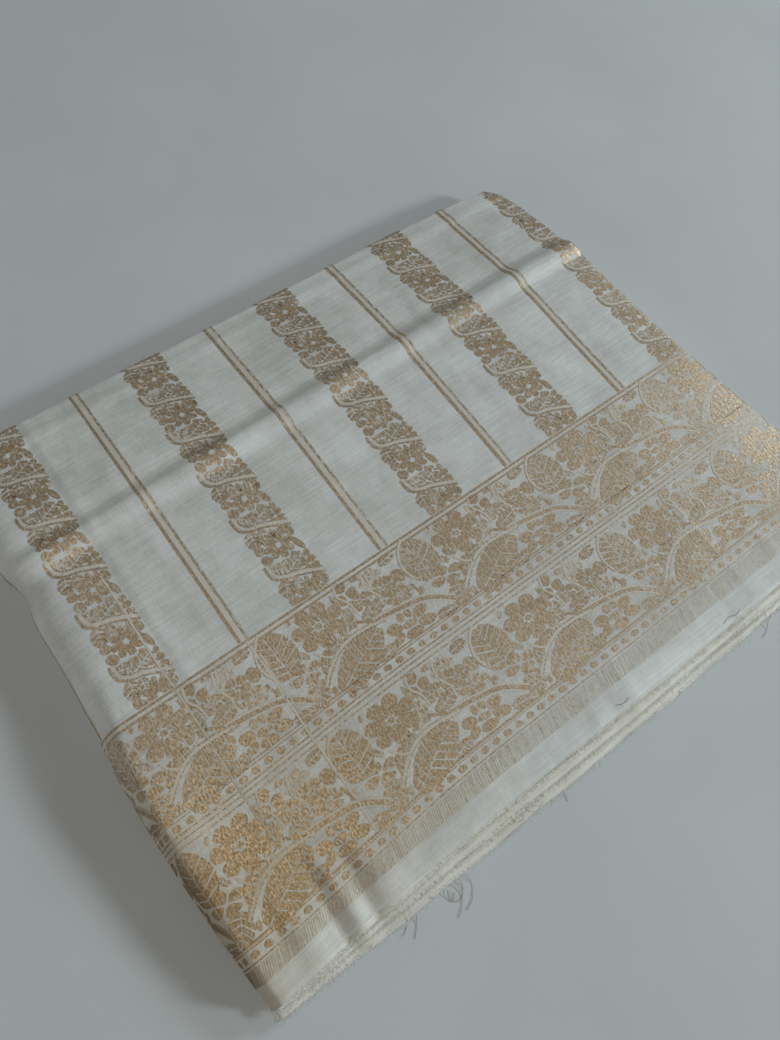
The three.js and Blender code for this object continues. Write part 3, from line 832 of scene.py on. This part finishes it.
def silk_material(name, colours, roughness, border=False):
    """Raw silk: a plain weave with slubs both ways, and broad uneven tone. In the border gold floats show."""
    material, tree, shader = new_material(name, {
        "Roughness": roughness, "Sheen Weight": 0.35, "Sheen Roughness": 0.4, "Specular IOR Level": 0.4,
    })
    weave = combine(tree, threads(tree, 1500, 160), threads(tree, 110, 1700))
    slub = threads(tree, 45, 460, 1.0)
    tone = combine(tree, level(tree, weave, 0.7, 1.3, 0.05, 0.35), level(tree, slub, 0.35, 0.75, 0, 0.12))
    tone = combine(tree, tone, level(tree, threads(tree, 24, 28, 4.0), 0.32, 0.66, -0.12, 0.32))
    tone = combine(tree, tone, level(tree, threads(tree, 90, 70, 3.0), 0.36, 0.62, -0.08, 0.16))
    light, shade = colours
    colour = blend(tree, tone, shade, light)
    if border:
        b = cloth_place(tree)[1]
        ends = level(tree, b, -0.001, 0, 1, 0), level(tree, b, -0.104, -0.1025)
        floats = level(tree, threads(tree, 900, 500), 0.42, 0.66, 0.08, 0.5)
        haze = combine(tree, combine(tree, *ends, "MULTIPLY"), floats, "MULTIPLY")
        colour = blend(tree, haze, colour, SILK_FLOATS)
        # Painted shade: the silk made warmer and darker towards the front left corner
        colour = blend(tree, front_left(tree, *FRONT_LEFT_WARM_SHADE), colour, SILK_WARM_SHADE, "MULTIPLY")
        # Painted shade: the silk browned where it turns down at the left, near the front
        colour = blend(tree, front_left(tree, *TURN_DOWN_SHADE), colour, SILK_TURN_SHADE)
    height = combine(tree, weave, level(tree, slub, 0.4, 0.7, 0, 0.8))
    connect(tree, shader, {
        "Base Color": colour,
        "Roughness": level(tree, weave, 0.7, 1.3, roughness + 0.08, roughness - 0.06),
        "Normal": bump(tree, height, 0.4, 0.00025),
    })
    return material


def layered_material():
    """The silk with its brocade at the folded edges: dense figures in the border, stripes in the field."""
    material = silk_material("layered_silk", LAYERED_SILK, 0.55)
    tree = material.node_tree
    shader = tree.nodes["Principled BSDF"]
    plain_colour = shader.inputs["Base Color"].links[0].from_socket
    spots = {"Vector": cloth_uv(tree), "Scale": 170.0}
    cells = node(tree, "ShaderNodeTexVoronoi", spots, feature="DISTANCE_TO_EDGE")
    figure = level(tree, cells.outputs["Distance"], 0.05, 0.1)
    a, b = cloth_place(tree)
    in_row = level(tree, combine(tree, b, 0.052, "PINGPONG"), 0.004, 0.0042)
    in_border = level(tree, b, -0.0005, 0.0, 1, 0)
    before_edge = level(tree, b, -0.0960, -0.0955)
    in_stripe = level(tree, combine(tree, a, 0.0385, "PINGPONG"), 0.0278, 0.028)
    border = combine(tree, combine(tree, in_row, in_border, "MULTIPLY"), before_edge, "MULTIPLY")
    field = combine(tree, in_stripe, combine(tree, 1.0, in_border, "SUBTRACT"), "MULTIPLY")
    cover = combine(tree, combine(tree, border, field, "MAXIMUM"), figure, "MULTIPLY")
    colour = blend(tree, cover, plain_colour, GOLD_AT_FOLDS)
    connect(tree, shader, {"Base Color": colour, "Metallic": level(tree, cover, 0, 1, 0, 0.6)})
    return material


def zari_material():
    """Gold thread floated over the silk, ribbed along b, with the silk showing between the ribs."""
    material, tree, shader = new_material("zari", {
        "Metallic": 0.45, "Roughness": 0.42, "Anisotropic": 0.3, "Specular IOR Level": 0.4,
    })
    tone = node(tree, "ShaderNodeAttribute", attribute_name="tone").outputs["Fac"]
    rib = threads(tree, 1150, 330, 1.0)
    glint = threads(tree, 1300, 700)
    cover = combine(tree, level(tree, rib, 0.36, 0.6, -0.5, 0.3), tone)
    cover = combine(tree, cover, level(tree, threads(tree, 60, 60, 3.0), 0.3, 0.7, -0.15, 0.15))
    gold = blend(tree, level(tree, glint, 0.4, 0.66), GOLD_DARK, GOLD_LIGHT)
    colour = blend(tree, level(tree, cover, 0.0, 0.75), GOLD_WORN, gold)
    # Painted shade: the gold made warmer and darker towards the front left corner
    colour = blend(tree, front_left(tree, *FRONT_LEFT_WARM_SHADE), colour, GOLD_WARM_SHADE, "MULTIPLY")
    # Painted shade: the gold browned where the cloth turns down at the left, near the front
    colour = blend(tree, front_left(tree, *TURN_DOWN_SHADE), colour, GOLD_TURN_SHADE)
    connect(tree, shader, {
        "Base Color": colour,
        "Metallic": level(tree, cover, 0.1, 0.8, 0.1, 0.55),
        "Roughness": level(tree, glint, 0.35, 0.7, 0.54, 0.38),
        "Normal": bump(tree, combine(tree, rib, glint), 0.42, 0.00022),
    })
    return material


def floor_material():
    material, tree, shader = new_material("pale_surface", {"Roughness": 0.75, "Specular IOR Level": 0.3})
    place = node(tree, "ShaderNodeTexCoord").outputs["Object"]
    grain = node(tree, "ShaderNodeTexNoise", {"Vector": place, "Scale": 9.0, "Detail": 3.0}).outputs["Fac"]
    connect(tree, shader, {"Base Color": blend(tree, level(tree, grain, 0.3, 0.7), *SURFACE)})
    return material


silk = silk_material("raw_silk", RAW_SILK, 0.46, True)
plain = silk_material("plain_silk", PLAIN_SILK, 0.55)
loose = silk_material("loose_thread", LOOSE_THREAD, 0.6)
layered = layered_material()
zari = zari_material()


# The cloth on top, from under the left side over the packet and round its right and back folds
cloth = Cloth()


def top_cloth():
    rows, columns = cloth.a.shape
    piece = new_piece("top_cloth", cloth.points.reshape(-1, 3), grid_faces(rows, columns), silk)
    across = np.repeat(cloth.b, columns)
    add_uv(piece, np.stack([cloth.a.ravel(), across], axis=1))
    thicken(piece, CLOTH_THICK)
    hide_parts("top_stretch", "left_turn", "right_turn")
    return piece


top = top_cloth()
random = np.random.default_rng(7)
border_figures = border_shapes(LEFT_END, RIGHT_END)
border = lay_brocade("zari_border", cloth, border_figures, BORDER_FRONT, BORDER_BACK, zari, random)
field_figures = field_shapes(cloth.b[-1])
stripes = lay_brocade("zari_stripes", cloth, field_figures, FIELD_FRONT, cloth.b[-1], zari, random)


# The cloth under the packet, the selvedges at the open front, and the folds at the right and the back

# How far inside the packet's outside its hidden layers stay
SKIN = 0.75
UNDER_ROWS, UNDER_COLUMNS, UNDER_BACK, UNDER_RIGHT = 60, 70, 2, 4
# The leaves at the open front, and how many of the upper ones end before the right roll
LEAF_COUNT, SHEETS_PER_LEAF, LEAVES_BY_ROLL = 7, 3, 2
LEAF_DEPTH, LEAF_THICK, LEAF_INSET = 24, 0.35, 1.5
LEAF_ROWS, LEAF_COLUMNS = 9, 180
# How unevenly the sheets of a leaf lie: how far one may stand out, and the waves of its edge, out and up
SHEET_SHIFT, SHEET_STEP = 1.6, 0.5
EDGE_WAVES, RISE_WAVES = (0.4, 0.25), (0.32, 0.16)
# How far forward each leaf reaches at the left, the middle and the right, from the lowest up
LEAVES = [
    (-127, -127.5, -126.5),
    (-129.6, -130.6, -129.2),
    (-133, -134, -132.6),
    (-128.4, -128.8, -129),
    (-130.2, -129.8, -129.4),
    (-127.6, -124.2, -124.4),
    (-127, -123.4, -124),
]
# How far each hidden fold stands back at the right and at the back, from the lowest up
INSETS = [
    (3.5, 2.5), (2.4, 1.6), (1.5, 1), (2.3, 1.5), (2.8, 1.8),
    (1.4, 1.1), (2.2, 1.6), (1.2, 1), (2.4, 1.7), (1.8, 1.2),
]
FOLD_DEPTH, FOLD_NECK = 14, 5
# Where the lowest fold starts, the room that the folds leave in all, and a fold's radius to its share
FOLDS_BASE, FOLDS_ROOM, FOLD_RADIUS = 0.6, 1.3, 0.47
# The rim that the folds follow, seen from above
RIM_STEP, RIM_BACK, RIM_RIGHT, RIM_LEFT = 2.5, 147, 258, -56
# The radii of the folds inside the right roll, and how far in they reach
ROLLED_IN = [2.2, 1.4, 0.6]
ROLLED_IN_DEPTH = 9


def inside(u, y, share, right):
    """A place inside the packet, from the left turn to a right limit and from the surface up to the top."""
    seam = seam_left(y)
    seam_top = top_height(seam, y) - SKIN
    z = mix(SKIN, seam_top, share)
    belly = mix(SKIN, seam_top, column(SECTIONS, BELLY, y))
    above = z > belly
    rise = np.where(above, (z - belly) / (seam_top - belly), (belly - z) / (belly - SKIN))
    angle = np.arccos(np.clip(rise, 0, 1) ** (1 / np.where(above, column(SECTIONS, CRISP, y), 1)))
    turn = np.where(above, angle, pi - angle)
    left = left_turn(y, turn, seam_top, SKIN, SKIN)[0]
    x = mix(left, right, u)
    return x, mix(SKIN, top_height(np.maximum(x, seam), y) - SKIN, share)


def under_cloth():
    """The flat stretch that the packet rests on."""
    b = np.linspace(FRONT, BACK_EDGE - UNDER_BACK, UNDER_ROWS)
    u = np.linspace(0, 1, UNDER_COLUMNS)
    rows = []
    for at in b:
        start = drawn_out(seam_left(at), at)
        left = column(SECTIONS, LEFT, start) + LEFT_FOOT + FLOOR_RUN
        x = mix(left, column(SECTIONS, RIGHT, at) - UNDER_RIGHT, u)
        rows.append(np.stack([x, drawn_out(x, at), np.zeros(len(u))], axis=1))
    points = np.array(rows).reshape(-1, 3)
    faces = [face[::-1] for face in grid_faces(len(b), len(u))]
    piece = new_piece("under_cloth", points, faces, plain)
    add_uv(piece, points[:, :2])
    thicken(piece, CLOTH_THICK)
    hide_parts("under_stretch")


def front_cloth(index, random):
    """The selvedges of one leaf at the open front, each a thin sheet with an uneven edge, and those edges."""
    left, middle, right = LEAVES[index]
    from_top = LEAF_COUNT - 1 - index
    inset = RIGHT_ROLL + RIGHT_RETURN if from_top < LEAVES_BY_ROLL else LEAF_INSET
    u = np.linspace(0, 1, LEAF_COLUMNS)
    depth = np.linspace(0, 1, LEAF_ROWS) ** 1.3
    points, faces = [], []
    for k in range(SHEETS_PER_LEAF):
        level_share = (index + (k + 0.5) / SHEETS_PER_LEAF) / LEAF_COUNT
        phase = random.uniform(0, 2 * pi, 4)
        reach = np.where(u < 0.5, mix(left, middle, ease(u * 3)), mix(middle, right, u * 2 - 1))
        reach = reach + random.uniform(0, SHEET_SHIFT)
        reach = reach + EDGE_WAVES[0] * np.sin(13 * u + phase[0]) + EDGE_WAVES[1] * np.sin(43 * u + phase[1])
        faces += grid_faces(len(depth), len(u), len(points) * len(u))
        for v in depth:
            y = mix(reach, FRONT + LEAF_DEPTH, v)
            limit = column(SECTIONS, RIGHT, y) - inset - random.uniform(0, 0.05) - k * SHEET_STEP
            x, z = inside(u, y, level_share, limit)
            wave = RISE_WAVES[0] * np.sin(11 * u + phase[2]) + RISE_WAVES[1] * np.sin(41 * u + phase[3])
            z = z + (wave - 0.5 * level_share) * (1 - v) ** 2
            points.append(np.stack([x, y, z], axis=1))
    edges = points[::len(depth)]
    points = np.concatenate(points)
    piece = new_piece(f"front_cloth_{index + 1}", points, faces, plain)
    add_uv(piece, points[:, :2])
    thicken(piece, LEAF_THICK)
    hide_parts(f"front_leaf_{index + 1}")
    return piece, edges


def rim_line(inset_right, inset_back, phase):
    """The line of one fold along the right edge, round the corner and along the back edge."""
    y = np.arange(FRONT - 3, RIM_BACK, RIM_STEP)
    x = np.arange(RIM_RIGHT, RIM_LEFT, -RIM_STEP)
    side = column(SECTIONS, RIGHT, y) - inset_right + 0.4 * np.sin(y / 17 + phase)
    back = column(LONG_EDGES, BACK_LINE, x) - inset_back + 0.4 * np.sin(x / 21 + phase)
    line = np.concatenate([np.stack([side, y], axis=1), np.stack([x, back], axis=1)])
    for _ in range(3):
        line[1:-1] = (line[:-2] + 2 * line[1:-1] + line[2:]) / 4
    return line


def folded_layers(random):
    """The folded edges of the hidden layers, one over the other, and those inside the right roll."""
    count = len(INSETS)
    points, faces, spots = [], [], []
    bend = [(cos(t), sin(t)) for t in np.linspace(pi / 2, -pi / 2, 7)]

    def add_fold(line, middle, radius, depth):
        along = np.gradient(line, axis=0)
        outward = np.stack([along[:, 1], -along[:, 0]], axis=1) / np.linalg.norm(along, axis=1)[:, None]
        shift = random.uniform(0, 77)
        section = [(-depth, 1), (-FOLD_NECK, 1)] + bend + [(-FOLD_NECK, -1), (-depth, -1)]
        start = sum(len(ring) for ring in points)
        faces.extend(face[::-1] for face in grid_faces(len(section), len(line), start))
        for out, rise in section:
            way = np.full(len(line), out) if out < -1 else (out - 1) * radius
            place = line + outward * way[:, None]
            points.append(np.column_stack([place, middle + rise * radius]))
            spots.append(np.column_stack([place[:, 0] + shift, place[:, 1]]))

    for k, (inset_right, inset_back) in enumerate(INSETS):
        line = rim_line(inset_right, inset_back, random.uniform(0, 6.3))
        roll = np.minimum(RIGHT_ROLL, back_roll(line[:, 0]) + 9 * ease((140 - line[:, 1]) / 12))
        thick = (top_height(line[:, 0], line[:, 1]) - 2 * roll - FOLDS_ROOM) / count
        middle = FOLDS_BASE + thick * (k + 0.5) + 0.08 * thick * np.sin(np.arange(len(line)) / 13 + k)
        add_fold(line, middle, FOLD_RADIUS * thick, FOLD_DEPTH)
    for radius in ROLLED_IN:
        line = rim_line(RIGHT_ROLL - radius, BACK_ROLL - radius, 0)
        line = line[line[:, 1] < 138]
        middle = top_height(line[:, 0], line[:, 1]) - RIGHT_ROLL
        add_fold(line, middle, np.full(len(line), radius), ROLLED_IN_DEPTH)
    piece = new_piece("folded_layers", np.concatenate(points), faces, layered)
    add_uv(piece, np.concatenate(spots))
    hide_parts("core_layers")


# Threads that stand or hang out of the selvedges. The long ones are few enough to be listed one by one.
FRAY_GAP, FRAY_LENGTH, FRAY_RADIUS = 1.0, (1.0, 3.6), 0.1
LOOSE_RADIUS = 0.11
LOOSE_THREADS = [
    [(59, -127.2, 21), (61.5, -130.4, 20), (64.5, -131.6, 17.5), (66.5, -131, 14)],
    [(57, -127.2, 21), (58, -130.8, 19.5), (62, -132.2, 17), (65, -132, 13)],
    [(55.5, -127.2, 20.5), (54.5, -131.2, 17), (54, -131.8, 9), (52.5, -133, 2), (49, -134.5, 0.2),
     (45, -134, 0.2)],
    [(18, -129, 10), (19, -132.5, 5), (19.5, -137, 0.2), (16, -141.5, 0.2), (12, -140, 0.2),
     (13.5, -136, 0.2)],
    [(16.5, -129, 8), (17.5, -133, 2), (17, -140, 0.2), (13, -145, 0.2), (10, -146.5, 0.2)],
    [(20, -129, 12), (22, -133, 4), (23.5, -138, 0.2), (20, -144, 0.2), (15, -146.5, 0.2)],
    [(14, -129, 9), (13, -132.5, 3), (10.5, -136, 0.2), (12, -140, 0.2), (15, -138, 0.2)],
    [(-4, -129, 9), (-3, -133, 3), (-5, -137, 0.2), (-9.5, -142, 0.2)],
    [(-9, -129, 10), (-8, -132.6, 5), (-9.5, -136, 0.2), (-13, -138, 0.2)],
    [(78, -129, 12), (79, -132.4, 6), (80, -136, 0.2), (79.5, -139, 0.2)],
    [(212, -128, 14), (214, -131.5, 9), (219, -134, 2), (224, -131.8, 0.2), (228, -134, 0.2)],
    [(220, -128, 10), (219, -132, 4), (215, -137, 0.2), (210, -139, 0.2)],
    [(150, -129, 11), (151.5, -132, 5), (154, -134.5, 0.2), (158, -134, 0.2)],
    [(-66, -128, 5), (-68.5, -131.5, 1.5), (-72, -132.5, 0.2)],
    [(276, -127.5, 12), (279, -131, 6), (284, -133, 0.2), (283, -137, 0.2)],
]
# Two stray threads on the plain strip, seen from above
ON_TOP = [
    [(186, -121), (190, -120.2), (194, -121.4), (197.5, -120.6)],
    [(118, -119), (121, -120.4), (125, -120)],
]


def tube(path, radius, sides):
    """Points and faces of a thin tube along a path."""
    path = np.array(path, float)
    ways = np.gradient(path, axis=0)
    ways /= np.linalg.norm(ways, axis=1, keepdims=True)
    across = np.cross(ways, (0.3, 0.1, 1.0))
    across /= np.linalg.norm(across, axis=1, keepdims=True)
    over = np.cross(across, ways)
    rings = [across * cos(t) + over * sin(t) for t in np.arange(sides) * 2 * pi / sides]
    points = np.stack([path + radius * ring for ring in rings], axis=1).reshape(-1, 3)
    faces = [
        (r * sides + s, r * sides + (s + 1) % sides, (r + 1) * sides + (s + 1) % sides, (r + 1) * sides + s)
        for r in range(len(path) - 1) for s in range(sides)
    ]
    return points, faces + [tuple(range(sides))[::-1], tuple(range(len(points) - sides, len(points)))]


def thread_piece(name, paths, radius, sides, material):
    points, faces, start = [], [], 0
    for path in paths:
        tube_points, tube_faces = tube(path, radius, sides)
        points.append(tube_points)
        faces += [tuple(start + corner for corner in face) for face in tube_faces]
        start += len(tube_points)
    points = np.concatenate(points)
    points[:, 2] = np.maximum(points[:, 2], 0.02)
    piece = new_piece(name, points, faces, material)
    add_uv(piece, points[:, :2])
    return piece


def frayed_paths(edges, random):
    """Short thread ends all along the front edges, bending down a little."""
    paths = []
    for edge in edges:
        run = np.concatenate([[0], np.cumsum(np.linalg.norm(np.diff(edge, axis=0), axis=1))])
        at = np.arange(1, run[-1] - 1, FRAY_GAP)
        at = at + random.uniform(-0.6, 0.6, len(at)) * FRAY_GAP
        for s in at:
            root = np.array([np.interp(s, run, edge[:, k]) for k in range(3)])
            length = random.uniform(*FRAY_LENGTH) * random.uniform(0.5, 1)
            lean, lift = random.normal(0, 0.45), random.normal(-0.25, 0.3)
            way = np.array([lean, -1, lift])
            bend = np.array([random.normal(0, 0.3), 0, random.normal(-0.25, 0.15)])
            start = root + (0, 0.4, -LEAF_THICK / 2)
            paths.append([start + way * length * t + bend * length * t * t for t in (0, 0.5, 1)])
    return paths


under_cloth()
leaves, front_edges = [], []
for leaf_index in range(LEAF_COUNT):
    leaf_piece, leaf_edges = front_cloth(leaf_index, random)
    leaves.append(leaf_piece)
    front_edges += leaf_edges
frayed = thread_piece("frayed_ends", frayed_paths(front_edges, random), FRAY_RADIUS, 3, plain)
long_paths = [smooth_path([np.array(spot) for spot in path]) for path in LOOSE_THREADS]
for spots in ON_TOP:
    heights = [top_height(np.array(x), np.array(drawn_out(x, y))) + 0.2 for x, y in spots]
    long_paths.append(smooth_path([np.array((x, y, z)) for (x, y), z in zip(spots, heights)]))
loose_threads = thread_piece("loose_threads", long_paths, LOOSE_RADIUS, 5, loose)
folded_layers(random)


# Camera, floor and light

# Each light's name, azimuth, elevation, distance and size in metres, watts and colour
LIGHTS = [
    ("front_right", -44, 24, 2.4, 0.36, 23, (0.90, 0.98, 1.0)),
    ("right", -6, 30, 2.4, 0.6, 16, (0.86, 0.95, 1.0)),
    ("left", 192, 18, 2.4, 1.0, 5.5, (1.0, 0.97, 0.92)),
    ("overhead", 216, 76, 2.4, 0.8, 7.5, (1.0, 0.92, 0.80)),
]
ROOM_COLOUR, ROOM_STRENGTH = (0.97, 0.96, 0.88, 1), 0.12


def add_camera():
    data = bpy.data.cameras.new("camera")
    data.sensor_fit = "VERTICAL"
    data.sensor_height = 36
    data.lens = 29.5
    data.clip_start = 0.01
    camera = new_object("camera", data)
    right = Vector((0.80018, -0.59432, 0.08053)).normalized()
    forward = Vector((0.29292, 0.2701, -0.91719)).normalized()
    up = right.cross(forward).normalized()
    place = (np.array([-30.6, -99.2, 394.4]) - CENTRE) * MM
    turn = Matrix((right, up, -forward)).transposed().to_4x4()
    camera.matrix_world = Matrix.Translation(Vector(place)) @ turn
    bpy.context.scene.camera = camera


def add_floor():
    size, low = 2.5, -0.0002
    data = bpy.data.meshes.new("floor")
    corners = [(-size, -size, low), (size, -size, low), (size, size, low), (-size, size, low)]
    data.from_pydata(corners, [], [(0, 1, 2, 3)])
    data.materials.append(floor_material())
    new_object("floor", data)


def add_light(name, azimuth, elevation, distance, size, energy, colour):
    """An area light that looks at the packet; azimuth 0 is at +X and 90 at +Y, in degrees."""
    data = bpy.data.lights.new(name, "AREA")
    data.shape = "DISK"
    data.size = size
    data.energy = energy
    data.color = colour
    light = new_object(name, data)
    around, above = radians(azimuth), radians(elevation)
    way = Vector((cos(around) * cos(above), sin(around) * cos(above), sin(above)))
    light.location = way * distance
    light.rotation_euler = way.to_track_quat("Z", "Y").to_euler()


add_camera()
add_floor()
for light in LIGHTS:
    add_light(*light)
world = bpy.data.worlds.new("room")
world.use_nodes = True
background = world.node_tree.nodes["Background"]
background.inputs["Color"].default_value = ROOM_COLOUR
background.inputs["Strength"].default_value = ROOM_STRENGTH
bpy.context.scene.world = world
bpy.context.scene.view_settings.view_transform = "Standard"
